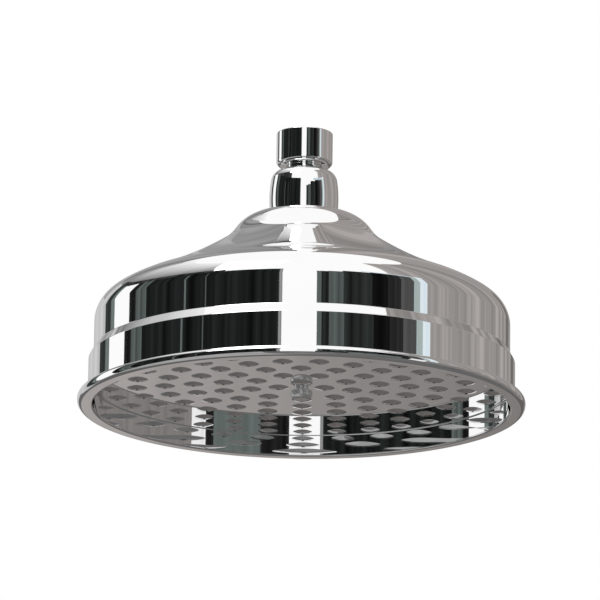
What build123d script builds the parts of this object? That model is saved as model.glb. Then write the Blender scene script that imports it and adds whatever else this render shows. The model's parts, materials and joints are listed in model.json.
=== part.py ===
# Fixed shower head: a spun bell with a recessed, embossed face, hung on a swivel ball joint.
# Millimetres, +Z up, origin at the centre of the inlet's mouth, the head hangs below it.
import os
from math import atan2, cos, degrees, radians, sin, sqrt, tan

from build123d import *

os.makedirs("parts", exist_ok=True)

# Inlet collar, a captive union nut with a G1/2 female thread (drawn at its minor radius)
collar_r = 13.0
collar_h = 15.7
collar_round = 2.2
collar_floor = 3.0
thread_r = 9.32
thread_relief = 0.7
mouth_chamfer = 0.5
edge_break = 0.4

# Ball stem: ball, neck, groove for the split ring, seats for regulator, screen and washer
ball_r = 11.0
ball_flat_r = 6.0
neck_r = 8.0
neck_gap = 2.5
stem_bore_r = 4.4
tail_land = 1.4
groove_depth = 0.9
split_ring_t = 1.2
split_ring_r = 9.0
split_gap = 3.0

# Inlet washer, filter screen and flow regulator
washer_t = 2.2
washer_hole_r = 5.0
screen_r = 6.2
screen_t = 0.5
screen_hole_r = 0.5
screen_pitch = 1.7
regulator_r = 5.3
regulator_h = 3.2
regulator_jet_r = 0.7
regulator_jets = 8
o_ring_wire = 1.4

# Ball nut, a turned barrel, with its slide ring and ball seal
nut_r = 15.9
nut_h = 21.1
nut_swell_r = 55.0
nut_belly = 13.5
nut_brow = 4.45
nut_hole_r = 9.9
nut_bore_r = 12.0
ball_drop = 8.3
ring_low = 0.6
ring_high = 5.8
seal_high = 4.2
seal_low = 8.0
seal_r = 10.7

# Boss through the crown of the bell, with its gasket, lock washer and lock nut
boss_gasket_t = 0.8
boss_floor_hole_r = 8.0
spigot_r = 8.9
spigot_bore_r = 6.0
ball_well = 2.6
lock_washer_t = 1.0
lock_washer_r = 13.5
lock_nut_across = 24.0
lock_nut_h = 4.0
spigot_end = 2.0

# Bell: rolled rim, lower band, bevelled step, upper band, shoulder, flare and crown
bell_wall = 1.0
band_r = 97.7
bead_proud = 4.8
bead_foot_r = 2.0
bead_foot_turn = 65.0
bead_side_r = 3.4
bead_side_turn = 33.0
bead_brow_r = 1.6
bead_brow_turn = 77.0
bead_cove = 1.0
lip_round = 0.9
hem_wall = 1.35
hem_h = 13.0
step_low_h = 21.4
step_in = 2.3
step_rise = 4.1
upper_band_h = 13.9
shoulder_r = 13.7
shoulder_turn = 57.0
slope_r = 56.5
slope_turn = 11.5
flare_turn = -12.0
sweep_r = 25.0
sweep_turn = -22.5
crown_r = 17.0
crown_flat_r = 17.5

# Face plate: a shallow pan with a turned-up rim, embossed nozzles in rings
face_recess = 10.2
face_wall = 1.2
face_corner = 1.0
rim_wall = 1.0
nozzle_r = 4.7
nozzle_h = 1.0
spray_hole_r = 0.6
ring_first_r = 10.5
ring_pitch = 13.0
ring_first_count = 4
ring_count_step = 5
rings = 7
nozzle_turn = 89.5

# Face gasket, centre pillar and centre screw
gasket_w = 2.2
gasket_t = 1.9
pillar_r = 4.0
pillar_foot_r = 5.5
pillar_foot_h = 16.0
pillar_disc_r = 7.4
pillar_disc_t = 2.6
pillar_ports = 6
pillar_port_r = 1.3
screw_r = 2.5
screw_reach = 12.0
screw_tip_room = 1.5
screw_neck_r = 3.2
screw_neck_h = 1.7
screw_head_r = 5.0
screw_head_h = 3.9
screw_head_round = 2.4

# Clearances
running_gap = 0.06
turning_gap = 0.32
thread_gap = 0.08
seat_gap = 0.04
loose_gap = 0.15
nut_seat_gap = 0.1


def arc_rise(radius, heading, turn):
    """Height gained along an arc that starts at a heading and turns by an angle, in degrees."""
    side = 1 if turn > 0 else -1
    return side * radius * (cos(radians(heading)) - cos(radians(heading + turn)))


def arc_run(radius, heading, turn):
    """Distance gained towards the axis along such an arc."""
    side = 1 if turn > 0 else -1
    return side * radius * (sin(radians(heading)) - sin(radians(heading + turn)))


# Bell's upper wall: tangent arcs from the upper band, the flare's radius set so that they end at the crown
bead_out_r = band_r + bead_proud
upper_band_r = band_r - step_in
step_high_h = step_low_h + step_rise
shoulder_h = step_high_h + upper_band_h
slope_start = 90 + shoulder_turn
flare_start = slope_start + slope_turn
sweep_start = flare_start + flare_turn
crown_start = sweep_start + sweep_turn
crown_turn = 180 - crown_start
plain_run = (
    arc_run(shoulder_r, 90, shoulder_turn)
    + arc_run(slope_r, slope_start, slope_turn)
    + arc_run(sweep_r, sweep_start, sweep_turn)
    + arc_run(crown_r, crown_start, crown_turn)
)
flare_r = (upper_band_r - crown_flat_r - plain_run) / arc_run(1, flare_start, flare_turn)
bell_arcs = [
    (shoulder_r, shoulder_turn),
    (slope_r, slope_turn),
    (flare_r, flare_turn),
    (sweep_r, sweep_turn),
    (crown_r, crown_turn),
]
bell_rise = (
    arc_rise(shoulder_r, 90, shoulder_turn)
    + arc_rise(slope_r, slope_start, slope_turn)
    + arc_rise(flare_r, flare_start, flare_turn)
    + arc_rise(sweep_r, sweep_start, sweep_turn)
    + arc_rise(crown_r, crown_start, crown_turn)
)
step_angle = degrees(atan2(step_rise, step_in))
step_slope = step_rise / step_in
step_shift = bell_wall * tan(radians(90 - step_angle) / 2)

# Heights, from the inlet's mouth downwards
collar_low = -collar_h
floor_high = collar_low + collar_floor
ring_groove_low = floor_high + running_gap - seat_gap
ring_groove_high = ring_groove_low + split_ring_t + 2 * seat_gap
stem_high = ring_groove_high + tail_land
washer_high = stem_high + washer_t
nut_high = collar_low - neck_gap
nut_low = nut_high - nut_h
ball_z = nut_high - ball_drop
crown_z = nut_low - nut_seat_gap
crown_h = shoulder_h + bell_rise
lip_z = crown_z - crown_h
face_z = lip_z + face_recess
face_back_z = face_z + face_wall
step_in_low = lip_z + step_low_h - step_shift
rim_high = step_in_low - gasket_t

# Radii that follow from the fits
floor_hole_r = neck_r + running_gap
socket_r = ball_r + running_gap
slide_ring_r = nut_bore_r - running_gap
boss_r = nut_bore_r - thread_gap
boss_cup_r = seal_r + running_gap
crown_hole_r = spigot_r + loose_gap
bell_in_r = band_r - bell_wall
hem_in_r = bell_in_r - hem_wall
pan_r = hem_in_r - loose_gap

# Levels inside the joint
shoulder_low = ball_z + ring_high + running_gap
boss_floor = ball_z - seal_low - running_gap
boss_high = ball_z - seal_high + running_gap
boss_low = crown_z + boss_gasket_t
well_low = boss_floor - ball_well
crown_under = crown_z - bell_wall
lock_nut_high = crown_under - lock_washer_t
lock_nut_low = lock_nut_high - lock_nut_h
spigot_low = lock_nut_low - spigot_end


def sphere_r(radius, height):
    """Radius of a sphere's section at a height over its centre."""
    return sqrt(radius**2 - height**2)


def turned(*points):
    """Revolve a closed outline of radii and heights about the head's axis, into the part at hand."""
    with BuildSketch(Plane.XZ) as section:
        with BuildLine():
            Polyline(*points, close=True)
        make_face()
    return revolve(section.sketch, axis=Axis.Z)


def turned_ring(inner, outer, low, high):
    """A plain ring of rectangular section."""
    return turned((inner, low), (outer, low), (outer, high), (inner, high))


with BuildPart() as collar_nut:
    with BuildSketch(Plane.XZ):
        with BuildLine():
            TangentArc(
                (collar_r - collar_round, collar_low),
                (collar_r, collar_low + collar_round),
                tangent=(1, 0),
            )
            Polyline(
                (collar_r, collar_low + collar_round),
                (collar_r, -edge_break),
                (collar_r - edge_break, 0),
                (thread_r + mouth_chamfer, 0),
                (thread_r, -mouth_chamfer),
                (thread_r, washer_high),
                (thread_r + thread_relief, washer_high),
                (thread_r + thread_relief, floor_high),
                (floor_hole_r, floor_high),
                (floor_hole_r, collar_low),
                (collar_r - collar_round, collar_low),
            )
        make_face()
    revolve(axis=Axis.Z)
collar_nut.part.label = "collar_nut"
export_step(collar_nut.part, "parts/collar_nut.step")

screen_seat = stem_high - screen_t - seat_gap
regulator_seat = screen_seat - regulator_h - seat_gap
groove_r = neck_r - groove_depth
ball_low = ball_z - sphere_r(ball_r, ball_flat_r)
neck_low = ball_z + sphere_r(ball_r, neck_r)

with BuildPart() as ball_stem:
    with BuildSketch(Plane.XZ):
        with BuildLine():
            ThreePointArc((ball_flat_r, ball_low), (ball_r, ball_z), (neck_r, neck_low))
            Polyline(
                (neck_r, neck_low),
                (neck_r, ring_groove_low),
                (groove_r, ring_groove_low),
                (groove_r, ring_groove_high),
                (neck_r, ring_groove_high),
                (neck_r, stem_high),
                (screen_r + seat_gap, stem_high),
                (screen_r + seat_gap, screen_seat),
                (regulator_r + seat_gap, screen_seat),
                (regulator_r + seat_gap, regulator_seat),
                (stem_bore_r, regulator_seat),
                (stem_bore_r, ball_low),
                (ball_flat_r, ball_low),
            )
        make_face()
    revolve(axis=Axis.Z)
ball_stem.part.label = "ball_stem"
export_step(ball_stem.part, "parts/ball_stem.step")

with BuildPart() as split_ring:
    split_low = ring_groove_low + seat_gap
    turned_ring(groove_r + seat_gap, split_ring_r, split_low, split_low + split_ring_t)
    with BuildSketch(Plane.XY.offset(split_low)):
        with Locations((split_ring_r / 2, 0)):
            Rectangle(split_ring_r + split_gap, split_gap)
    extrude(amount=split_ring_t, mode=Mode.SUBTRACT)
split_ring.part.label = "split_ring"
export_step(split_ring.part, "parts/split_ring.step")

with BuildPart() as inlet_washer:
    turned_ring(washer_hole_r, thread_r - turning_gap, stem_high, washer_high)
inlet_washer.part.label = "inlet_washer"
export_step(inlet_washer.part, "parts/inlet_washer.step")

with BuildPart() as filter_screen:
    with BuildSketch(Plane.XY.offset(screen_seat)):
        Circle(screen_r)
        with HexLocations(screen_pitch / 2, 5, 5):
            Circle(screen_hole_r, mode=Mode.SUBTRACT)
    extrude(amount=screen_t)
filter_screen.part.label = "filter_screen"
export_step(filter_screen.part, "parts/filter_screen.step")

regulator_high = regulator_seat + regulator_h
regulator_mid = regulator_seat + regulator_h / 2
o_ring_r = o_ring_wire / 2
o_ring_centre_r = regulator_r + seat_gap - o_ring_r - seat_gap / 2
o_ring_groove_r = o_ring_centre_r - o_ring_r - seat_gap
o_ring_groove_half = o_ring_r + seat_gap
jet_circle_r = o_ring_groove_r / 2

with BuildPart() as flow_regulator:
    turned(
        (0, regulator_seat),
        (regulator_r, regulator_seat),
        (regulator_r, regulator_mid - o_ring_groove_half),
        (o_ring_groove_r, regulator_mid - o_ring_groove_half),
        (o_ring_groove_r, regulator_mid + o_ring_groove_half),
        (regulator_r, regulator_mid + o_ring_groove_half),
        (regulator_r, regulator_high),
        (0, regulator_high),
    )
    with BuildSketch(Plane.XY.offset(regulator_seat)):
        with PolarLocations(jet_circle_r, regulator_jets):
            Circle(regulator_jet_r)
    extrude(amount=regulator_h, mode=Mode.SUBTRACT)
flow_regulator.part.label = "flow_regulator"
export_step(flow_regulator.part, "parts/flow_regulator.step")

with BuildPart() as regulator_o_ring:
    with BuildSketch(Plane.XZ):
        with Locations((o_ring_centre_r, regulator_mid)):
            Circle(o_ring_r)
    revolve(axis=Axis.Z)
regulator_o_ring.part.label = "regulator_o_ring"
export_step(regulator_o_ring.part, "parts/regulator_o_ring.step")

with BuildPart() as slide_ring:
    ring_mid = (ring_low + ring_high) / 2
    with BuildSketch(Plane.XZ):
        with BuildLine():
            ThreePointArc(
                (sphere_r(socket_r, ring_low), ball_z + ring_low),
                (sphere_r(socket_r, ring_mid), ball_z + ring_mid),
                (sphere_r(socket_r, ring_high), ball_z + ring_high),
            )
            Polyline(
                (sphere_r(socket_r, ring_high), ball_z + ring_high),
                (slide_ring_r, ball_z + ring_high),
                (slide_ring_r, ball_z + ring_low),
                (sphere_r(socket_r, ring_low), ball_z + ring_low),
            )
        make_face()
    revolve(axis=Axis.Z)
slide_ring.part.label = "slide_ring"
export_step(slide_ring.part, "parts/slide_ring.step")

with BuildPart() as ball_seal:
    seal_mid = (seal_low + seal_high) / 2
    with BuildSketch(Plane.XZ):
        with BuildLine():
            ThreePointArc(
                (sphere_r(socket_r, seal_high), ball_z - seal_high),
                (sphere_r(socket_r, seal_mid), ball_z - seal_mid),
                (sphere_r(socket_r, seal_low), ball_z - seal_low),
            )
            Polyline(
                (sphere_r(socket_r, seal_low), ball_z - seal_low),
                (seal_r, ball_z - seal_low),
                (seal_r, ball_z - seal_high),
                (sphere_r(socket_r, seal_high), ball_z - seal_high),
            )
        make_face()
    revolve(axis=Axis.Z)
ball_seal.part.label = "ball_seal"
export_step(ball_seal.part, "parts/ball_seal.step")

belly_z = nut_high - nut_belly
brow_z = nut_high - nut_brow
swell_centre_r = nut_r - nut_swell_r
brow_r = swell_centre_r + sphere_r(nut_swell_r, brow_z - belly_z)
nut_foot_r = swell_centre_r + sphere_r(nut_swell_r, belly_z - nut_low)

with BuildPart() as ball_nut:
    with BuildSketch(Plane.XZ):
        with BuildLine():
            ThreePointArc((nut_foot_r, nut_low), (nut_r, belly_z), (brow_r, brow_z))
            TangentArc(
                (brow_r, brow_z),
                (nut_hole_r, nut_high),
                tangent=(belly_z - brow_z, brow_r - swell_centre_r),
            )
            Polyline(
                (nut_hole_r, nut_high),
                (nut_hole_r, shoulder_low),
                (nut_bore_r, shoulder_low),
                (nut_bore_r, nut_low),
                (nut_foot_r, nut_low),
            )
        make_face()
    revolve(axis=Axis.Z)
ball_nut.part.label = "ball_nut"
export_step(ball_nut.part, "parts/ball_nut.step")

disc_low = spigot_low
disc_high = disc_low + pillar_disc_t

with BuildPart() as boss:
    turned(
        (boss_floor_hole_r, boss_floor),
        (boss_cup_r, boss_floor),
        (boss_cup_r, boss_high),
        (boss_r, boss_high),
        (boss_r, boss_low),
        (spigot_r, boss_low),
        (spigot_r, spigot_low),
        (pillar_disc_r + seat_gap, spigot_low),
        (pillar_disc_r + seat_gap, disc_high + seat_gap),
        (spigot_bore_r, disc_high + seat_gap),
        (spigot_bore_r, well_low),
        (boss_floor_hole_r, well_low),
    )
boss.part.label = "boss"
export_step(boss.part, "parts/boss.step")

with BuildPart() as boss_gasket:
    turned_ring(spigot_r + seat_gap, boss_r, crown_z, boss_low)
boss_gasket.part.label = "boss_gasket"
export_step(boss_gasket.part, "parts/boss_gasket.step")

with BuildPart() as lock_washer:
    turned_ring(spigot_r + thread_gap, lock_washer_r, lock_nut_high, crown_under)
lock_washer.part.label = "lock_washer"
export_step(lock_washer.part, "parts/lock_washer.step")

with BuildPart() as boss_lock_nut:
    with BuildSketch(Plane.XY.offset(lock_nut_low)):
        RegularPolygon(lock_nut_across / 2, 6, major_radius=False)
        Circle(spigot_r + thread_gap, mode=Mode.SUBTRACT)
    extrude(amount=lock_nut_h)
boss_lock_nut.part.label = "boss_lock_nut"
export_step(boss_lock_nut.part, "parts/boss_lock_nut.step")


def bell_wall_line(inset):
    """The bell's upper wall, from the upper band to the crown, moved inwards by an inset."""
    point = (upper_band_r - inset, lip_z + shoulder_h)
    tangent = (0, 1)
    for radius, turn in bell_arcs:
        side = 1 if turn > 0 else -1
        bend = JernArc(point, tangent, radius - side * inset, turn)
        point = bend @ 1
        tangent = bend % 1
    return point


bead_side_tilt = 90 - bead_foot_turn
bead_start_r = (
    bead_out_r
    - bead_side_r * (1 - cos(radians(bead_side_tilt)))
    - bead_foot_r * cos(radians(bead_side_tilt))
)
ledge_heading = bead_foot_turn + bead_side_turn + bead_brow_turn
cove_start_r = band_r + bead_cove * (1 - sin(radians(ledge_heading)))

with BuildPart() as bell:
    with BuildSketch(Plane.XZ):
        with BuildLine():
            # Lip and rolled rim, with a small cove where the rim meets the band
            TangentArc((hem_in_r, lip_z + lip_round), (hem_in_r + lip_round, lip_z), tangent=(0, -1))
            Line((hem_in_r + lip_round, lip_z), (bead_start_r, lip_z))
            foot = JernArc((bead_start_r, lip_z), (1, 0), bead_foot_r, bead_foot_turn)
            side = JernArc(foot @ 1, foot % 1, bead_side_r, bead_side_turn)
            brow = JernArc(side @ 1, side % 1, bead_brow_r, bead_brow_turn)
            ledge_length = ((brow @ 1).X - cove_start_r) / -cos(radians(ledge_heading))
            ledge = PolarLine(brow @ 1, ledge_length, direction=brow % 1)
            cove = JernArc(ledge @ 1, brow % 1, bead_cove, 90 - ledge_heading)
            # Outer wall up to the crown
            Polyline(
                cove @ 1,
                (band_r, lip_z + step_low_h),
                (upper_band_r, lip_z + step_high_h),
                (upper_band_r, lip_z + shoulder_h),
            )
            crown_out = bell_wall_line(0)
            Polyline(
                crown_out,
                (crown_hole_r, crown_z),
                (crown_hole_r, crown_under),
                (crown_out.X, crown_under),
            )
            # Inner wall back down to the hem, where the sheet is folded up inside the band
            bell_wall_line(bell_wall)
            Polyline(
                (upper_band_r - bell_wall, lip_z + shoulder_h),
                (upper_band_r - bell_wall, lip_z + step_high_h - step_shift),
                (bell_in_r, step_in_low),
                (bell_in_r, lip_z + hem_h),
                (hem_in_r, lip_z + hem_h),
                (hem_in_r, lip_z + lip_round),
            )
        make_face()
    revolve(axis=Axis.Z)
bell.part.label = "bell"
export_step(bell.part, "parts/bell.step")

foot_low = face_back_z
disc_port_r = (pillar_r + pillar_disc_r) / 2
screw_ring_wire_r = o_ring_r / 2
ring_seat_half = screw_ring_wire_r + seat_gap
screw_ring_r = screw_r + ring_seat_half

with BuildPart() as centre_pillar:
    turned(
        (0, foot_low + screw_reach + screw_tip_room),
        (screw_r + thread_gap, foot_low + screw_reach + screw_tip_room),
        (screw_r + thread_gap, foot_low + 2 * ring_seat_half),
        (screw_ring_r + ring_seat_half, foot_low + 2 * ring_seat_half),
        (screw_ring_r + ring_seat_half, foot_low),
        (pillar_foot_r, foot_low),
        (pillar_foot_r, foot_low + pillar_foot_h),
        (pillar_r, foot_low + pillar_foot_h + pillar_foot_r - pillar_r),
        (pillar_r, disc_low),
        (pillar_disc_r, disc_low),
        (pillar_disc_r, disc_high),
        (0, disc_high),
    )
    with BuildSketch(Plane.XY.offset(disc_low)):
        with PolarLocations(disc_port_r, pillar_ports):
            Circle(pillar_port_r)
    extrude(amount=pillar_disc_t, mode=Mode.SUBTRACT)
centre_pillar.part.label = "centre_pillar"
export_step(centre_pillar.part, "parts/centre_pillar.step")

gasket_out_r = bell_in_r - seat_gap
gasket_in_r = gasket_out_r - gasket_w
step_drop = seat_gap * sqrt(1 + step_slope**2)

with BuildPart() as face_gasket:
    turned(
        (gasket_in_r, rim_high),
        (gasket_out_r, rim_high),
        (gasket_out_r, step_in_low + (bell_in_r - gasket_out_r) * step_slope - step_drop),
        (gasket_in_r, step_in_low + (bell_in_r - gasket_in_r) * step_slope - step_drop),
    )
face_gasket.part.label = "face_gasket"
export_step(face_gasket.part, "parts/face_gasket.step")

with BuildPart() as nozzle:
    with BuildSketch(Plane.XZ):
        with BuildLine():
            cap_r = (nozzle_r**2 + nozzle_h**2) / (2 * nozzle_h)
            RadiusArc((0, -nozzle_h), (nozzle_r, 0), -cap_r)
            Polyline((nozzle_r, 0), (nozzle_r, face_wall / 2), (0, face_wall / 2), (0, -nozzle_h))
        make_face()
    revolve(axis=Axis.Z)

with BuildPart() as spray_hole:
    with BuildSketch(Plane.XY.offset(-nozzle_h)):
        Circle(spray_hole_r)
    extrude(amount=nozzle_h + face_wall)

with BuildPart() as face_plate:
    turned(
        (screw_r + loose_gap, face_z),
        (pan_r, face_z),
        (pan_r, rim_high),
        (pan_r - rim_wall, rim_high),
        (pan_r - rim_wall, face_back_z),
        (screw_r + loose_gap, face_back_z),
    )
    fillet(face_plate.edges().group_by(Axis.Z)[0].sort_by(SortBy.RADIUS)[-1], face_corner)
    for ring in range(rings):
        ring_r = ring_first_r + ring_pitch * ring
        ring_count = ring_first_count + ring_count_step * ring
        with Locations(Plane.XY.offset(face_z)):
            with PolarLocations(ring_r, ring_count, start_angle=nozzle_turn):
                add(nozzle.part)
                add(spray_hole.part, mode=Mode.SUBTRACT)
face_plate.part.label = "face_plate"
export_step(face_plate.part, "parts/face_plate.step")

head_high = face_z - screw_neck_h
head_low = head_high - screw_head_h

with BuildPart() as centre_screw:
    turned(
        (0, head_low),
        (screw_head_r, head_low),
        (screw_head_r, head_high),
        (screw_neck_r, head_high),
        (screw_neck_r, face_z),
        (screw_r, face_z),
        (screw_r, foot_low + screw_reach),
        (0, foot_low + screw_reach),
    )
    fillet(centre_screw.edges().group_by(Axis.Z)[0], screw_head_round)
centre_screw.part.label = "centre_screw"
export_step(centre_screw.part, "parts/centre_screw.step")

with BuildPart() as screw_o_ring:
    with BuildSketch(Plane.XZ):
        with Locations((screw_ring_r, foot_low + ring_seat_half)):
            Circle(screw_ring_wire_r)
    revolve(axis=Axis.Z)
screw_o_ring.part.label = "screw_o_ring"
export_step(screw_o_ring.part, "parts/screw_o_ring.step")

print("lip at", round(lip_z, 3), "flare", round(flare_r, 2), "crown at", round(crown_z, 3), "ball at", round(ball_z, 3))
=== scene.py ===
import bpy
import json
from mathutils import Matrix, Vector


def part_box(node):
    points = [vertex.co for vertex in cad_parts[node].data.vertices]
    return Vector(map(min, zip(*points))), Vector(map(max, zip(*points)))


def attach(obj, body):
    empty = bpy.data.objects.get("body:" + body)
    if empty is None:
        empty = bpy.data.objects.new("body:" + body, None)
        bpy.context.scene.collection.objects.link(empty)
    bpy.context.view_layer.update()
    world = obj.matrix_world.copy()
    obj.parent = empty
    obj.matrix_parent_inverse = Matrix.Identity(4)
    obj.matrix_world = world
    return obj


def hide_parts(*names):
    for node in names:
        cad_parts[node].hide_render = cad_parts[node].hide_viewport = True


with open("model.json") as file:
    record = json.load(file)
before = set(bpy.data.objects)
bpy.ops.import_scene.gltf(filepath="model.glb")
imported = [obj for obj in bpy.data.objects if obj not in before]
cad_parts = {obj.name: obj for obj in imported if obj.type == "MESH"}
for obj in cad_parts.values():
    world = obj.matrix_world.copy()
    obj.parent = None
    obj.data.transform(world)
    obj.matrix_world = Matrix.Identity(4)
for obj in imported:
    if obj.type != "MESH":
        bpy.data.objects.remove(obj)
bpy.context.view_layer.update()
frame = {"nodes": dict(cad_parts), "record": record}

import json
from math import asin, atan2, ceil, cos, degrees, hypot, pi, radians, sin, sqrt, tan

import bpy
from mathutils import Matrix, Vector
from mathutils.geometry import delaunay_2d_cdt

mm = 0.001
scene = bpy.context.scene
scene.view_settings.view_transform = "Standard"

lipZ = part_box("bell")[0].z / mm  # heights and sizes below are in millimetres
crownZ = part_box("bell")[1].z / mm
print("frame loaded, lip at", round(lipZ, 2), "crown at", round(crownZ, 2))


# A pen that walks round a section: radius, height, heading in degrees, normal on its right
def newPen(r, z, heading):
    pen = {"r": r, "z": z, "heading": heading, "points": []}
    markPen(pen)
    return pen


def markPen(pen):
    h = radians(pen["heading"])
    pen["points"].append((pen["r"], pen["z"], sin(h), -cos(h)))


def penLine(pen, length, steps=1):
    h = radians(pen["heading"])
    for _ in range(steps):
        pen["r"] += length / steps * cos(h)
        pen["z"] += length / steps * sin(h)
        markPen(pen)


def penArc(pen, radius, turn, step=5.0, longest=2.5):
    count = max(2, ceil(abs(turn) / step), ceil(radius * radians(abs(turn)) / longest))
    part = turn / count
    chord = 2 * radius * sin(radians(abs(part)) / 2)
    for _ in range(count):
        h = radians(pen["heading"] + part / 2)
        pen["r"] += chord * cos(h)
        pen["z"] += chord * sin(h)
        pen["heading"] += part
        markPen(pen)


# straight to a corner, and round it by a fillet to a new heading
def penCorner(pen, r, z, fillet, heading):
    turn = (heading - pen["heading"] + 180) % 360 - 180
    cut = fillet * tan(radians(abs(turn)) / 2)
    penLine(pen, hypot(r - pen["r"], z - pen["z"]) - cut)
    penArc(pen, fillet, turn, step=18)


# A shell gathers faces with a normal at every corner, so that mirrors stay true
def newShell():
    return {"verts": [], "index": {}, "faces": [], "normals": []}


def shellFace(shell, corners):
    face, normals = [], []
    for point, normal in corners:
        key = tuple(round(value, 5) for value in (*point, *normal))  # unlike normals share no corner
        at = shell["index"].get(key)
        if at is None:
            at = len(shell["verts"])
            shell["index"][key] = at
            shell["verts"].append((point[0] * mm, point[1] * mm, point[2] * mm))
        if at not in face:
            face.append(at)
            normals.append(normal)
    if len(face) > 2:
        shell["faces"].append(face)
        shell["normals"].extend(normals)


def shellBands(shell, rows, loop=False):
    pairs = list(zip(rows, rows[1:]))
    if loop:
        pairs.append((rows[-1], rows[0]))
    for low, high in pairs:
        for k in range(len(low)):
            n = (k + 1) % len(low)
            shellFace(shell, [low[k], low[n], high[n], high[k]])


def turnedRows(points, segments, centre=(0.0, 0.0)):
    rows = []
    for r, z, nr, nz in points:
        row = []
        for k in range(segments):
            c, s = cos(2 * pi * k / segments), sin(2 * pi * k / segments)
            row.append(((centre[0] + r * c, centre[1] + r * s, z), (nr * c, nr * s, nz)))
        rows.append(row)
    return rows


def shellObject(shell, name, material):
    mesh = bpy.data.meshes.new(name)
    mesh.from_pydata(shell["verts"], [], shell["faces"])
    mesh.polygons.foreach_set("use_smooth", [True] * len(mesh.polygons))
    mesh.normals_split_custom_set(shell["normals"])
    mesh.materials.append(material)
    piece = bpy.data.objects.new(name, mesh)
    scene.collection.objects.link(piece)
    return piece


# Node helpers. Most of a noise lies between these two values.
noiseLow, noiseHigh = 0.3, 0.7


def newMaterial(name):
    material = bpy.data.materials.new(name)
    material.use_nodes = True
    return material, material.node_tree.nodes, material.node_tree.links


def noiseAt(nodes, links, scale, detail=3.0, stretch=(1, 1, 1)):
    coords = nodes.new("ShaderNodeTexCoord")
    mapping = nodes.new("ShaderNodeMapping")
    mapping.inputs["Scale"].default_value = stretch
    noise = nodes.new("ShaderNodeTexNoise")
    noise.inputs["Scale"].default_value = scale
    noise.inputs["Detail"].default_value = detail
    links.new(coords.outputs["Object"], mapping.inputs["Vector"])
    links.new(mapping.outputs["Vector"], noise.inputs["Vector"])
    return noise


def rampBetween(nodes, links, source, low, high, start=noiseLow, end=noiseHigh):
    ramp = nodes.new("ShaderNodeValToRGB")
    ramp.color_ramp.elements[0].position = start
    ramp.color_ramp.elements[1].position = end
    ramp.color_ramp.elements[0].color = (*low, 1)
    ramp.color_ramp.elements[1].color = (*high, 1)
    links.new(source, ramp.inputs["Fac"])
    return ramp


def spread(nodes, links, source, low, high):
    ranged = nodes.new("ShaderNodeMapRange")
    ranged.inputs["From Min"].default_value = noiseLow
    ranged.inputs["From Max"].default_value = noiseHigh
    ranged.inputs["To Min"].default_value = low
    ranged.inputs["To Max"].default_value = high
    links.new(source, ranged.inputs["Value"])
    return ranged


def bumped(nodes, links, shader, source, strength, distance):
    bump = nodes.new("ShaderNodeBump")
    bump.inputs["Strength"].default_value = strength
    bump.inputs["Distance"].default_value = distance
    links.new(source, bump.inputs["Height"])
    links.new(bump.outputs["Normal"], shader.inputs["Normal"])


chromeSet = {"low": (0.955, 0.955, 0.955), "high": (0.975, 0.975, 0.977), "cloud": 22,
             "rough": (0.012, 0.035), "satin": (0.30, 0.40), "roughCloud": 55}


def chromePlate(name, rough):
    material, nodes, links = newMaterial(name)
    shader = nodes["Principled BSDF"]
    shader.inputs["Metallic"].default_value = 1.0
    cloud = noiseAt(nodes, links, chromeSet["cloud"], detail=4)
    tone = rampBetween(nodes, links, cloud.outputs["Fac"], chromeSet["low"], chromeSet["high"])
    links.new(tone.outputs["Color"], shader.inputs["Base Color"])
    film = noiseAt(nodes, links, chromeSet["roughCloud"], detail=5)
    blur = spread(nodes, links, film.outputs["Fac"], *rough)
    links.new(blur.outputs["Result"], shader.inputs["Roughness"])
    return material


brassSet = {"low": (0.60, 0.43, 0.19), "high": (0.76, 0.58, 0.30), "cloud": 60, "lines": 900,
            "stretch": (0.05, 0.05, 1), "rough": (0.22, 0.36), "bump": 0.25, "depth": 0.0001}


def turnedBrass():
    material, nodes, links = newMaterial("turned_brass")
    shader = nodes["Principled BSDF"]
    shader.inputs["Metallic"].default_value = 1.0
    cloud = noiseAt(nodes, links, brassSet["cloud"], detail=4)
    tone = rampBetween(nodes, links, cloud.outputs["Fac"], brassSet["low"], brassSet["high"])
    links.new(tone.outputs["Color"], shader.inputs["Base Color"])
    lines = noiseAt(nodes, links, brassSet["lines"], detail=2, stretch=brassSet["stretch"])
    blur = spread(nodes, links, lines.outputs["Fac"], *brassSet["rough"])
    links.new(blur.outputs["Result"], shader.inputs["Roughness"])
    bumped(nodes, links, shader, lines.outputs["Fac"], brassSet["bump"], brassSet["depth"])
    return material


steelSet = {"low": (0.50, 0.50, 0.50), "high": (0.66, 0.66, 0.65), "grain": 420, "stretch": (1, 0.2, 1),
            "rough": (0.18, 0.32)}


def springSteel():
    material, nodes, links = newMaterial("spring_steel")
    shader = nodes["Principled BSDF"]
    shader.inputs["Metallic"].default_value = 1.0
    grain = noiseAt(nodes, links, steelSet["grain"], detail=4, stretch=steelSet["stretch"])
    tone = rampBetween(nodes, links, grain.outputs["Fac"], steelSet["low"], steelSet["high"])
    links.new(tone.outputs["Color"], shader.inputs["Base Color"])
    blur = spread(nodes, links, grain.outputs["Fac"], *steelSet["rough"])
    links.new(blur.outputs["Result"], shader.inputs["Roughness"])
    return material


rubberSet = {"low": (0.016, 0.016, 0.017), "high": (0.034, 0.033, 0.032), "grain": 700,
             "rough": (0.58, 0.78), "bump": 0.3, "depth": 0.0001}


def blackRubber():
    material, nodes, links = newMaterial("black_rubber")
    shader = nodes["Principled BSDF"]
    grain = noiseAt(nodes, links, rubberSet["grain"], detail=5)
    tone = rampBetween(nodes, links, grain.outputs["Fac"], rubberSet["low"], rubberSet["high"])
    links.new(tone.outputs["Color"], shader.inputs["Base Color"])
    blur = spread(nodes, links, grain.outputs["Fac"], *rubberSet["rough"])
    links.new(blur.outputs["Result"], shader.inputs["Roughness"])
    bumped(nodes, links, shader, grain.outputs["Fac"], rubberSet["bump"], rubberSet["depth"])
    return material


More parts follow.
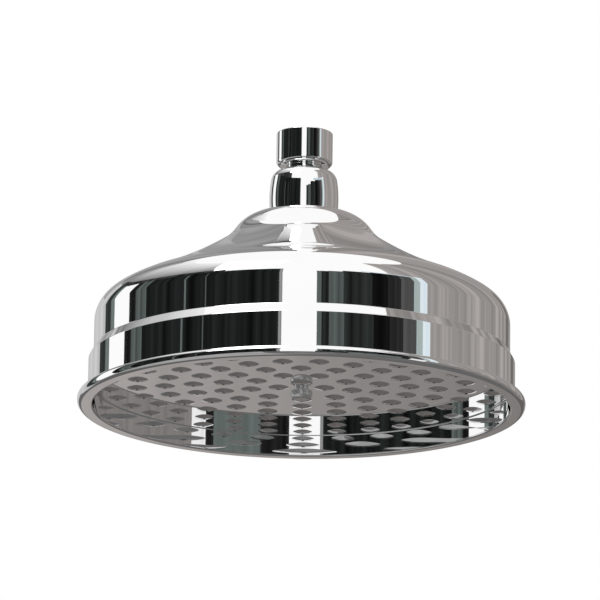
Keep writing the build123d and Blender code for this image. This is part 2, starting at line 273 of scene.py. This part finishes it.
plasticSet = {"low": (0.74, 0.74, 0.71), "high": (0.84, 0.84, 0.81), "cloud": 140,
              "rough": (0.34, 0.48), "bump": 0.1, "depth": 0.0001}


def whitePlastic():
    material, nodes, links = newMaterial("white_acetal")
    shader = nodes["Principled BSDF"]
    cloud = noiseAt(nodes, links, plasticSet["cloud"], detail=4)
    tone = rampBetween(nodes, links, cloud.outputs["Fac"], plasticSet["low"], plasticSet["high"])
    links.new(tone.outputs["Color"], shader.inputs["Base Color"])
    blur = spread(nodes, links, cloud.outputs["Fac"], *plasticSet["rough"])
    links.new(blur.outputs["Result"], shader.inputs["Roughness"])
    bumped(nodes, links, shader, cloud.outputs["Fac"], plasticSet["bump"], plasticSet["depth"])
    return material


finishes = {
    "chrome": chromePlate("chrome_plate", chromeSet["rough"]),
    "satin": chromePlate("chrome_satin", chromeSet["satin"]),
    "brass": turnedBrass(),
    "spring_steel": springSteel(),
    "black_rubber": blackRubber(),
    "white_plastic": whitePlastic(),
}
for part in frame["record"]["subparts"]:
    node = frame["nodes"][part["node"]]
    node.data.materials.clear()
    node.data.materials.append(finishes[part["material_slot"]])
print("finishes on", len(frame["nodes"]), "nodes")


def seat(piece, node, body):
    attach(piece, body)
    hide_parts(node)
    print(piece.name, "for", node, "faces", len(piece.data.polygons))


bellSet = {"segments": 240, "wall": 1.0, "hemR": 95.35, "hemH": 13.0, "lipRound": 0.9,
           "bead": [(2.0, 65), (3.4, 33), (1.6, 77)], "beadOutR": 102.5, "cove": 1.0,
           "bandR": 97.7, "stepLow": 21.4, "stepHigh": 25.5, "upperR": 95.4, "shoulder": 39.4,
           "arcs": [(13.7, 57), (56.5, 11.5), (218.81, -12), (25, -22.5), (17, 56)],
           "stepFillet": 0.7, "holeR": 9.05, "holeFillet": 0.3, "insideFillet": 0.4, "hemFillet": 0.3}


def makeBell():
    b = bellSet
    inR = b["bandR"] - b["wall"]
    (footR, footTurn), (sideR, sideTurn), (browR, browTurn) = b["bead"]
    tilt = radians(90 - footTurn)
    beadStart = b["beadOutR"] - sideR * (1 - cos(tilt)) - footR * cos(tilt)
    ledge = footTurn + sideTurn + browTurn
    coveStart = b["bandR"] + b["cove"] * (1 - sin(radians(ledge)))
    bevel = degrees(atan2(b["stepHigh"] - b["stepLow"], b["upperR"] - b["bandR"]))
    crown = crownZ - lipZ
    drop = b["wall"] * tan(radians(bevel - 90) / 2)
    pen = newPen(b["hemR"] + b["lipRound"], 0, 0)
    penLine(pen, beadStart - pen["r"])
    for radius, turn in b["bead"]:  # rolled rim
        penArc(pen, radius, turn)
    penLine(pen, (pen["r"] - coveStart) / -cos(radians(ledge)))
    penArc(pen, b["cove"], 90 - ledge, step=8)  # cove above it
    penCorner(pen, b["bandR"], b["stepLow"], b["stepFillet"], bevel)  # lower band, then the bevel
    penCorner(pen, b["upperR"], b["stepHigh"], b["stepFillet"], 90)
    penLine(pen, b["shoulder"] - pen["z"])
    for radius, turn in b["arcs"]:  # shoulder, flare and crown
        penArc(pen, radius, turn, step=3)
    crownR = pen["r"]
    penCorner(pen, b["holeR"], crown, b["holeFillet"], 270)
    penCorner(pen, b["holeR"], crown - b["wall"], b["holeFillet"], 360)
    penLine(pen, crownR - pen["r"])
    for radius, turn in reversed(b["arcs"]):  # back down inside the wall
        side = 1 if turn > 0 else -1
        penArc(pen, radius - side * b["wall"], -turn, step=6, longest=6)
    penCorner(pen, b["upperR"] - b["wall"], b["stepHigh"] - drop, b["insideFillet"], 180 + bevel)
    penCorner(pen, inR, b["stepLow"] - drop, b["insideFillet"], 270)
    penCorner(pen, inR, b["hemH"], b["hemFillet"], 180)
    penCorner(pen, b["hemR"], b["hemH"], b["insideFillet"], 270)
    penLine(pen, pen["z"] - b["lipRound"])
    penArc(pen, b["lipRound"], 90, step=15)
    points = [(r, z + lipZ, nr, nz) for r, z, nr, nz in pen["points"][:-1]]
    shell = newShell()
    shellBands(shell, turnedRows(points, b["segments"]), loop=True)
    seat(shellObject(shell, "bell_shell", finishes["chrome"]), "bell", "head")


makeBell()

faceSet = {"recess": 10.2, "wall": 1.2, "panR": 95.2, "corner": 1.0, "rimWall": 1.0, "holeR": 2.65,
           "holeSides": 48, "rimEdge": 0.2, "rimFillet": 0.5, "nozzleR": 4.7, "nozzleH": 1.0,
           "sprayR": 0.6, "firstR": 10.5, "pitch": 13.0, "firstCount": 4, "countStep": 5, "rings": 7,
           "turn": 89.5, "nozzleSides": 28, "rows": 6, "segments": 240}


def nozzleCentres():
    f = faceSet
    centres = []
    for ring in range(f["rings"]):
        r = f["firstR"] + f["pitch"] * ring
        count = f["firstCount"] + f["countStep"] * ring
        for k in range(count):
            at = radians(f["turn"] + 360 * k / count)
            centres.append((r * cos(at), r * sin(at)))
    return centres


def circle(centre, r, count):
    turns = [2 * pi * k / count for k in range(count)]
    return [(centre[0] + r * cos(turn), centre[1] + r * sin(turn)) for turn in turns]


# a flat disc inside the first loop, with the holes (x, y, radius) left out
def shellDisc(shell, loops, holes, z, up):
    within = 0.985  # share of a hole's radius that is inside its sides
    coords, edges = [], []
    for loop in loops:
        start = len(coords)
        coords.extend(Vector(point) for point in loop)
        edges.extend((start + k, start + (k + 1) % len(loop)) for k in range(len(loop)))
    verts, _, faces, _, _, _ = delaunay_2d_cdt(coords, edges, [], 0, 1e-6)
    normal = (0, 0, 1 if up else -1)
    for face in faces:
        middle = sum((verts[v] for v in face), Vector((0, 0))) / len(face)
        if any(hypot(middle.x - x, middle.y - y) < r * within for x, y, r in holes):
            continue
        order = face if up else list(reversed(face))
        shellFace(shell, [((verts[v].x, verts[v].y, z), normal) for v in order])


def makeFace():
    f = faceSet
    faceZ = lipZ + f["recess"]
    backZ = faceZ + f["wall"]
    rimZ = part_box("face_plate")[1].z / mm
    cap = (f["nozzleR"] ** 2 + f["nozzleH"] ** 2) / (2 * f["nozzleH"])
    centres = nozzleCentres()
    shell = newShell()
    pen = newPen(f["panR"] - f["corner"], faceZ, 0)
    penArc(pen, f["corner"], 90, step=8)
    penCorner(pen, f["panR"], rimZ, f["rimEdge"], 180)
    penCorner(pen, f["panR"] - f["rimWall"], rimZ, f["rimEdge"], 270)
    penCorner(pen, f["panR"] - f["rimWall"], backZ, f["rimFillet"], 180)
    backR = pen["r"]
    shellBands(shell, turnedRows(pen["points"], f["segments"]))
    bore = [(f["holeR"], backZ, -1, 0), (f["holeR"], faceZ, -1, 0)]
    shellBands(shell, turnedRows(bore, f["holeSides"]))
    outer = circle((0, 0), f["panR"] - f["corner"], f["segments"])
    middle = circle((0, 0), f["holeR"], f["holeSides"])
    feet = [circle(centre, f["nozzleR"], f["nozzleSides"]) for centre in centres]
    holes = [(0, 0, f["holeR"])] + [(*centre, f["nozzleR"]) for centre in centres]
    shellDisc(shell, [outer, middle] + feet, holes, faceZ, False)
    outer = circle((0, 0), backR, f["segments"])
    ends = [circle(centre, f["sprayR"], f["nozzleSides"]) for centre in centres]
    holes = [(0, 0, f["holeR"])] + [(*centre, f["sprayR"]) for centre in centres]
    shellDisc(shell, [outer, middle] + ends, holes, backZ, True)
    tipZ = faceZ + cap - f["nozzleH"] - sqrt(cap**2 - f["sprayR"] ** 2)
    jet = [(f["sprayR"], backZ, -1, 0), (f["sprayR"], tipZ, -1, 0)]
    dome = []
    for k in range(f["rows"] + 1):
        r = f["sprayR"] + (f["nozzleR"] - f["sprayR"]) * k / f["rows"]
        deep = sqrt(cap**2 - r**2)
        dome.append((r, faceZ + cap - f["nozzleH"] - deep, r / cap, -deep / cap))
    for centre in centres:
        shellBands(shell, turnedRows(jet, f["nozzleSides"], centre))
        shellBands(shell, turnedRows(dome, f["nozzleSides"], centre))
    seat(shellObject(shell, "face_pan", finishes["chrome"]), "face_plate", "head")


makeFace()

nutSet = {"segments": 160, "r": 15.9, "swell": 55.0, "belly": 13.5, "brow": 4.2, "holeR": 9.9,
          "boreR": 12.0, "shoulder": 2.44, "edge": 0.22, "footEdge": 0.4, "boreEdge": 0.3,
          "shoulderFillet": 0.2}


def makeNut():
    n = nutSet
    low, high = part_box("ball_nut")[0].z / mm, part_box("ball_nut")[1].z / mm
    belly = high - n["belly"]
    below = degrees(asin((belly - low) / n["swell"]))
    above = degrees(asin((n["belly"] - n["brow"]) / n["swell"]))
    footR = n["r"] - n["swell"] * (1 - cos(radians(below)))
    browR = n["brow"] / (1 - sin(radians(above)))
    pen = newPen(n["boreR"] + n["boreEdge"], low, 0)
    penCorner(pen, footR, low, n["footEdge"], 90 - below)
    penArc(pen, n["swell"], below + above, step=1)
    pen["z"] = high - n["brow"]
    penArc(pen, browR, 90 - above, step=4)
    penCorner(pen, n["holeR"], high, n["edge"], 270)
    penCorner(pen, n["holeR"], high - n["shoulder"], n["shoulderFillet"], 360)
    penCorner(pen, n["boreR"], high - n["shoulder"], n["shoulderFillet"], 270)
    penCorner(pen, n["boreR"], low, n["boreEdge"], 360)
    shell = newShell()
    shellBands(shell, turnedRows(pen["points"][:-1], n["segments"]), loop=True)
    seat(shellObject(shell, "ball_nut_turned", finishes["chrome"]), "ball_nut", "head")


makeNut()

collarSet = {"segments": 120, "r": 13.0, "round": 2.2, "edge": 0.4, "boreR": 9.32, "mouth": 0.5,
             "mouthEdge": 0.1, "threadEnd": 7.8, "relief": 0.7, "reliefDrop": 0.01, "floor": 3.0,
             "floorHoleR": 8.06, "floorFillet": 0.3, "floorEdge": 0.2, "pitch": 1.814, "depth": 1.158,
             "fade": 7, "rows": 44}


def makeCollar():
    c = collarSet
    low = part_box("collar_nut")[0].z / mm
    reliefR = c["boreR"] + c["relief"]
    reliefZ = -c["threadEnd"] - c["reliefDrop"]
    pen = newPen(reliefR, reliefZ, 270)  # relief, floor and its hole
    penCorner(pen, reliefR, low + c["floor"], c["floorFillet"], 180)
    penCorner(pen, c["floorHoleR"], low + c["floor"], c["floorEdge"], 270)
    penCorner(pen, c["floorHoleR"], low, c["floorFillet"], 360)
    penLine(pen, c["r"] - c["round"] - pen["r"])
    penArc(pen, c["round"], 90)
    penCorner(pen, c["r"], 0, c["edge"], 180)
    penCorner(pen, c["boreR"] + c["mouth"], 0, c["mouthEdge"], 225)
    penCorner(pen, c["boreR"], -c["mouth"], c["mouthEdge"], 270)
    shell = newShell()
    shellBands(shell, turnedRows(pen["points"], c["segments"]))
    top, rows = pen["z"], []
    for j in range(c["rows"] + 1):  # right-hand thread, faded out at its ends
        share = j / c["rows"]
        z = top + (-c["threadEnd"] - top) * share
        fade = min(1, share * c["fade"], (1 - share) * c["fade"])
        row = []
        for k in range(c["segments"]):
            turn = 2 * pi * k / c["segments"]
            phase = 2 * pi * z / c["pitch"] - turn
            r = c["boreR"] + c["depth"] * fade * (0.5 - 0.5 * cos(phase))
            slope = c["depth"] * fade * 0.5 * sin(phase)
            normal = Vector((-cos(turn) + slope / r * sin(turn), -sin(turn) - slope / r * cos(turn),
                             slope * 2 * pi / c["pitch"])).normalized()
            row.append(((r * cos(turn), r * sin(turn), z), tuple(normal)))
        rows.append(row)
    shellBands(shell, rows)
    step = [(c["boreR"], -c["threadEnd"], 0, -1), (reliefR, reliefZ, 0, -1)]
    shellBands(shell, turnedRows(step, c["segments"]))
    seat(shellObject(shell, "collar_threaded", finishes["chrome"]), "collar_nut", "collar")


makeCollar()

screwSet = {"segments": 64, "headR": 5.0, "headH": 3.9, "headRound": 2.4, "neckR": 3.2, "shankR": 2.5,
            "edge": 0.3, "neckEdge": 0.1}


def makeScrew():
    w = screwSet
    low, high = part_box("centre_screw")[0].z / mm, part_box("centre_screw")[1].z / mm
    faceZ = lipZ + faceSet["recess"]
    pen = newPen(0, low, 0)
    penLine(pen, w["headR"] - w["headRound"], 2)
    penArc(pen, w["headRound"], 90, step=6)
    penCorner(pen, w["headR"], low + w["headH"], w["edge"], 180)
    penCorner(pen, w["neckR"], low + w["headH"], w["edge"], 90)
    penCorner(pen, w["neckR"], faceZ, w["neckEdge"], 180)
    penCorner(pen, w["shankR"], faceZ, w["neckEdge"], 90)
    penCorner(pen, w["shankR"], high, w["edge"], 180)
    penLine(pen, pen["r"])
    shell = newShell()
    shellBands(shell, turnedRows(pen["points"], w["segments"]))
    seat(shellObject(shell, "screw_domed", finishes["satin"]), "centre_screw", "head")


makeScrew()

# Camera where the photograph's stood: low in front, looking a little up
cameraSet = {"distance": 2.6, "below": 13.53, "pitch": 14.63, "yaw": -0.027, "roll": 0.75,
             "lens": 341.15, "clipEnd": 60}


def makeCamera():
    c = cameraSet
    below, pitch, yaw, roll = (radians(c[key]) for key in ("below", "pitch", "yaw", "roll"))
    place = Vector((0, -c["distance"] * cos(below), lipZ * mm - c["distance"] * sin(below)))
    ahead = Vector((sin(yaw) * cos(pitch), cos(yaw) * cos(pitch), sin(pitch)))
    right = ahead.cross(Vector((0, 0, 1))).normalized()
    up = right.cross(ahead)
    tiltRight = right * cos(roll) + up * sin(roll)
    tiltUp = up * cos(roll) - right * sin(roll)
    data = bpy.data.cameras.new("camera")
    data.lens = c["lens"]
    data.clip_end = c["clipEnd"]
    camera = bpy.data.objects.new("camera", data)
    turn = Matrix((tiltRight, tiltUp, -ahead)).transposed().to_4x4()
    camera.matrix_world = Matrix.Translation(place) @ turn
    scene.collection.objects.link(camera)
    scene.camera = camera


makeCamera()

# White studio: the lens and the mirrors see plain white, and the fill light is a little softer
studioSet = {"white": (1, 1, 1), "fill": (0.97, 0.98, 1.0), "fillStrength": 0.75,
             "floorZ": -2.1, "floorR": 6.6, "floorSides": 96, "floorRough": 0.8, "floorCloud": 1.2,
             "floorLow": (0.80, 0.797, 0.79), "floorHigh": (0.85, 0.847, 0.84),
             "keyPlace": (-1.3, -1.7, 2.3), "keySize": 1.6, "keyPower": 28}


def makeWorld():
    world = bpy.data.worlds.new("studio")
    scene.world = world
    world.use_nodes = True
    nodes, links = world.node_tree.nodes, world.node_tree.links
    nodes.clear()
    rays = nodes.new("ShaderNodeLightPath")
    seen = nodes.new("ShaderNodeMath")
    seen.operation = "MAXIMUM"
    shown = nodes.new("ShaderNodeMath")
    shown.operation = "MAXIMUM"
    links.new(rays.outputs["Is Camera Ray"], seen.inputs[0])
    links.new(rays.outputs["Is Glossy Ray"], seen.inputs[1])
    links.new(seen.outputs["Value"], shown.inputs[0])
    links.new(rays.outputs["Is Transmission Ray"], shown.inputs[1])
    fill = nodes.new("ShaderNodeBackground")
    fill.inputs["Color"].default_value = (*studioSet["fill"], 1)
    fill.inputs["Strength"].default_value = studioSet["fillStrength"]
    white = nodes.new("ShaderNodeBackground")
    white.inputs["Color"].default_value = (*studioSet["white"], 1)
    white.inputs["Strength"].default_value = 1.0
    mix = nodes.new("ShaderNodeMixShader")
    out = nodes.new("ShaderNodeOutputWorld")
    links.new(shown.outputs["Value"], mix.inputs["Fac"])
    links.new(fill.outputs["Background"], mix.inputs[1])
    links.new(white.outputs["Background"], mix.inputs[2])
    links.new(mix.outputs["Shader"], out.inputs["Surface"])


def makeFloor():
    material, nodes, links = newMaterial("pale_floor")
    shader = nodes["Principled BSDF"]
    shader.inputs["Roughness"].default_value = studioSet["floorRough"]
    cloud = noiseAt(nodes, links, studioSet["floorCloud"], detail=4)
    low, high = studioSet["floorLow"], studioSet["floorHigh"]
    tone = rampBetween(nodes, links, cloud.outputs["Fac"], low, high)
    links.new(tone.outputs["Color"], shader.inputs["Base Color"])
    # seen only from above, so that a low camera looks through it
    facing = nodes.new("ShaderNodeNewGeometry")
    clear = nodes.new("ShaderNodeBsdfTransparent")
    mix = nodes.new("ShaderNodeMixShader")
    links.new(facing.outputs["Backfacing"], mix.inputs["Fac"])
    links.new(shader.outputs["BSDF"], mix.inputs[1])
    links.new(clear.outputs["BSDF"], mix.inputs[2])
    links.new(mix.outputs["Shader"], nodes["Material Output"].inputs["Surface"])
    sides = studioSet["floorSides"]
    ring = [(x, y, studioSet["floorZ"]) for x, y in circle((0, 0), studioSet["floorR"], sides)]
    mesh = bpy.data.meshes.new("floor")
    mesh.from_pydata(ring, [], [list(range(sides))])
    mesh.materials.append(material)
    floor = bpy.data.objects.new("floor", mesh)
    scene.collection.objects.link(floor)


def makeKey():
    light = bpy.data.lights.new("soft_box", "AREA")
    light.shape = "SQUARE"
    light.size = studioSet["keySize"]
    light.energy = studioSet["keyPower"]
    lamp = bpy.data.objects.new("soft_box", light)
    lamp.location = studioSet["keyPlace"]
    lamp.rotation_euler = (-Vector(studioSet["keyPlace"])).to_track_quat("-Z", "Y").to_euler()
    scene.collection.objects.link(lamp)


makeWorld()
makeFloor()
makeKey()

# Glowing boards round the set that only the mirrors see: painted reflections, which light nothing and
# cast no shadow. Angles in degrees: azimuth from the camera's side towards the right, and height over
# the horizon, both seen from the head. Then dark and light tone of the painted reflection, width of the
# streaks, brightness from foot to top and from first to last azimuth, and distance.
def grey(v):
    return (v, v, v)


def teal(v):
    return (v * 0.84, v, v * 0.96)


def beige(v):
    return (v * 1.05, v * 0.98, v * 0.95)


even = (1, 1)
# tones of the painted reflections: glowing boards that only the chrome shows
paintedReflectionSet = {
    "centre": (0, 0, -0.11), "cell": 3, "stretch": 0.006, "ramp": (0.36, 0.64),
    "boards": [
        ("left_far_pale", (-180, -139), (-20, 31), grey(0.48), grey(0.64), 9, even, even, 4.0),
        ("left_far_dark", (-139, -131), (-20, 31), teal(0.02), teal(0.05), 3, even, even, 4.0),
        ("left_far_green", (-131, -126), (-20, 31), teal(0.16), teal(0.22), 3, even, even, 4.0),
        ("left_edge", (-110, -104), (-20, 29), grey(0.006), grey(0.02), 3, even, even, 4.0),
        ("left_teal", (-104, -95), (-20, 29), teal(0.05), teal(0.15), 2.5, even, even, 4.0),
        ("left_dark", (-95, -12.6), (-20, 29), grey(0.004), teal(0.022), 5, even, even, 4.0),
        ("left_line_a", (-67.6, -66.4), (-10, 25), teal(0.10), teal(0.15), 3, even, even, 3.9),
        ("left_line_b", (-54.5, -53.7), (-10, 25), teal(0.07), teal(0.11), 3, even, even, 3.9),
        ("left_sliver", (-12.6, -10.9), (-20, 29), grey(0.22), grey(0.34), 2, even, even, 4.0),
        ("right_teal_a", (7.5, 10), (-20, 22), teal(0.10), teal(0.14), 2, even, even, 4.0),
        ("right_dark_a", (10, 14), (-20, 22), grey(0.01), teal(0.03), 2, even, even, 4.0),
        ("right_teal_b", (14, 22), (-20, 23), teal(0.07), teal(0.13), 3, even, even, 4.0),
        ("right_dark_b", (22, 38), (-20, 26), grey(0.01), teal(0.035), 4, even, even, 4.0),
        ("right_black", (38, 47), (-20, 27), grey(0.004), grey(0.008), 4, even, even, 4.0),
        ("right_dark_c", (47, 55), (-20, 27), grey(0.012), grey(0.03), 3, even, even, 4.0),
        ("right_grey", (55, 63), (-20, 27), grey(0.06), grey(0.09), 3, even, even, 4.0),
        ("right_pale", (63, 67), (-20, 28), (0.36, 0.43, 0.42), (0.42, 0.49, 0.48), 3, even, even, 4.0),
        ("right_blue", (67, 71.7), (-20, 28), (0.66, 0.76, 0.82), (0.74, 0.83, 0.88), 3, even, even,
         4.0),
        ("right_beige", (71.7, 177.8), (-20, 62), beige(0.22), beige(0.40), 6, even, even, 4.0),
        ("right_shade", (153, 161), (-20, 26), beige(0.10), beige(0.20), 3, even, even, 3.9),
        ("right_low_black", (6.6, 23), (-20, -3), grey(0.004), grey(0.02), 4, even, even, 3.9),
        ("right_low", (23, 51), (-20, -3), teal(0.12), teal(0.17), 5, even, even, 3.9),
        ("right_low_line", (51, 56), (-20, -3), grey(0.008), grey(0.02), 3, even, even, 3.9),
        ("right_low_white", (56, 65), (-20, -3), grey(0.80), grey(0.95), 3, even, even, 3.9),
        ("right_low_dark", (65, 150), (-20, -3), beige(0.18), beige(0.23), 5, even, even, 3.9),
        ("blue_line", (33, 66), (27, 29), (0.48, 0.58, 0.64), (0.60, 0.69, 0.75), 5, even, even, 4.0),
        ("right_high", (50, 71.7), (29, 61), beige(0.28), beige(0.42), 6, even, even, 4.0),
        ("left_high_dark", (-140, -45.5), (29, 34), grey(0.01), grey(0.06), 6, even, even, 4.0),
        ("left_high", (-140, -45.5), (34, 59), grey(0.80), grey(0.95), 9, (0.25, 1), even, 4.0),
        ("left_back", (-178.9, -140), (31, 53), grey(0.10), grey(0.42), 6, even, even, 4.0),
        ("left_far_mid", (-178.9, -150), (21, 31), grey(0.26), grey(0.46), 5, even, even, 3.9),
        ("back_mid", (174, 186), (-3, 28), grey(0.26), grey(0.34), 3, even, even, 4.0),
        ("back_low_right", (150, 172), (-24, -3), beige(0.08), beige(0.15), 3, even, even, 1.85),
        ("back_low", (172, 188), (-18, -9.5), beige(0.85), beige(1.0), 1.2, even, (0.165, 0.43), 1.85),
        ("back_under", (172, 188), (-24, -18), beige(0.095), beige(0.125), 8, even, even, 1.85),
        ("back_over", (172, 188), (-9.5, -3), beige(0.11), beige(0.15), 8, even, even, 1.85),
        ("back_low_left", (188, 210), (-24, -3), grey(0.11), grey(0.15), 3, even, even, 1.85),
        ("side_low_left", (-150, -20), (-24, -20), grey(0.30), grey(0.42), 9, even, even, 1.85),
        ("front_low", (-20, 20), (-36, -20), grey(0.10), grey(0.15), 9, even, even, 1.85),
        ("side_low_right", (20, 150), (-24, -20), grey(0.10), grey(0.15), 9, even, even, 1.85),
        ("under_left_back", (-160, -115), (-90, -24), grey(0.10), grey(0.14), 9, even, even, 1.85),
        ("under_left", (-115, -20), (-90, -24), grey(0.30), grey(0.42), 20, even, even, 1.85),
        ("under_front", (-20, 20), (-90, -36), grey(0.14), grey(0.20), 20, even, even, 1.85),
        ("under_right", (20, 160), (-90, -24), grey(0.11), grey(0.15), 20, even, even, 1.85),
        ("under_back", (160, 200), (-90, -24), beige(0.095), beige(0.125), 8, even, even, 1.85),
    ],
}


# emission tone of a board: a painted reflection, brighter or darker from foot to top and across as
# given
def paintedReflectionMaterial(name, turns, heights, low, high, streak, rise, drift):
    material, nodes, links = newMaterial(name)
    nodes.remove(nodes["Principled BSDF"])
    coords = nodes.new("ShaderNodeTexCoord")
    mapping = nodes.new("ShaderNodeMapping")
    mapping.inputs["Scale"].default_value = (1 / streak, paintedReflectionSet["stretch"], 1)
    noise = nodes.new("ShaderNodeTexNoise")
    noise.inputs["Scale"].default_value = 1.0
    noise.inputs["Detail"].default_value = 3.0
    links.new(coords.outputs["UV"], mapping.inputs["Vector"])
    links.new(mapping.outputs["Vector"], noise.inputs["Vector"])
    tone = rampBetween(nodes, links, noise.outputs["Fac"], low, high, *paintedReflectionSet["ramp"])
    parts = nodes.new("ShaderNodeSeparateXYZ")
    links.new(coords.outputs["UV"], parts.inputs["Vector"])
    product = nodes.new("ShaderNodeMath")
    product.operation = "MULTIPLY"
    for at, axis, span, strengths in ((0, "X", turns, drift), (1, "Y", heights, rise)):
        ranged = nodes.new("ShaderNodeMapRange")
        ranged.inputs["From Min"].default_value = span[0]
        ranged.inputs["From Max"].default_value = span[1]
        ranged.inputs["To Min"].default_value = strengths[0]
        ranged.inputs["To Max"].default_value = strengths[1]
        links.new(parts.outputs[axis], ranged.inputs["Value"])
        links.new(ranged.outputs["Result"], product.inputs[at])
    # the board glows though it is no lamp: painted reflection
    reflectionGlow = nodes.new("ShaderNodeEmission")
    links.new(tone.outputs["Color"], reflectionGlow.inputs["Color"])
    links.new(product.outputs["Value"], reflectionGlow.inputs["Strength"])
    links.new(reflectionGlow.outputs["Emission"], nodes["Material Output"].inputs["Surface"])
    return material


def makePaintedReflectionBoard(name, turns, heights, low, high, streak, rise, drift, distance):
    across = max(2, ceil((turns[1] - turns[0]) / paintedReflectionSet["cell"]))
    upward = max(2, ceil((heights[1] - heights[0]) / paintedReflectionSet["cell"]))
    verts, uvs, faces = [], [], []
    for j in range(upward + 1):
        height = heights[0] + (heights[1] - heights[0]) * j / upward
        for i in range(across + 1):
            turn = turns[0] + (turns[1] - turns[0]) * i / across
            t, h = radians(turn), radians(height)
            verts.append(Vector((sin(t) * cos(h), -cos(t) * cos(h), sin(h))) * distance)
            uvs.append((turn, height))
    for j in range(upward):
        for i in range(across):
            a = j * (across + 1) + i
            faces.append((a, a + 1, a + across + 2, a + across + 1))
    mesh = bpy.data.meshes.new(name)
    mesh.from_pydata(verts, [], faces)
    layer = mesh.uv_layers.new(name="angles")
    for loop in mesh.loops:
        layer.data[loop.index].uv = uvs[loop.vertex_index]
    mesh.materials.append(paintedReflectionMaterial(name, turns, heights, low, high, streak, rise, drift))
    board = bpy.data.objects.new(name, mesh)
    board.location = paintedReflectionSet["centre"]
    scene.collection.objects.link(board)
    # hidden from the camera, from diffuse light and from shadows, so the board is only a painted
    # reflection in the chrome
    board.visible_camera = False
    board.visible_diffuse = False
    board.visible_shadow = False


for board in paintedReflectionSet["boards"]:
    makePaintedReflectionBoard(*board)
print("studio with", len(paintedReflectionSet["boards"]), "boards")
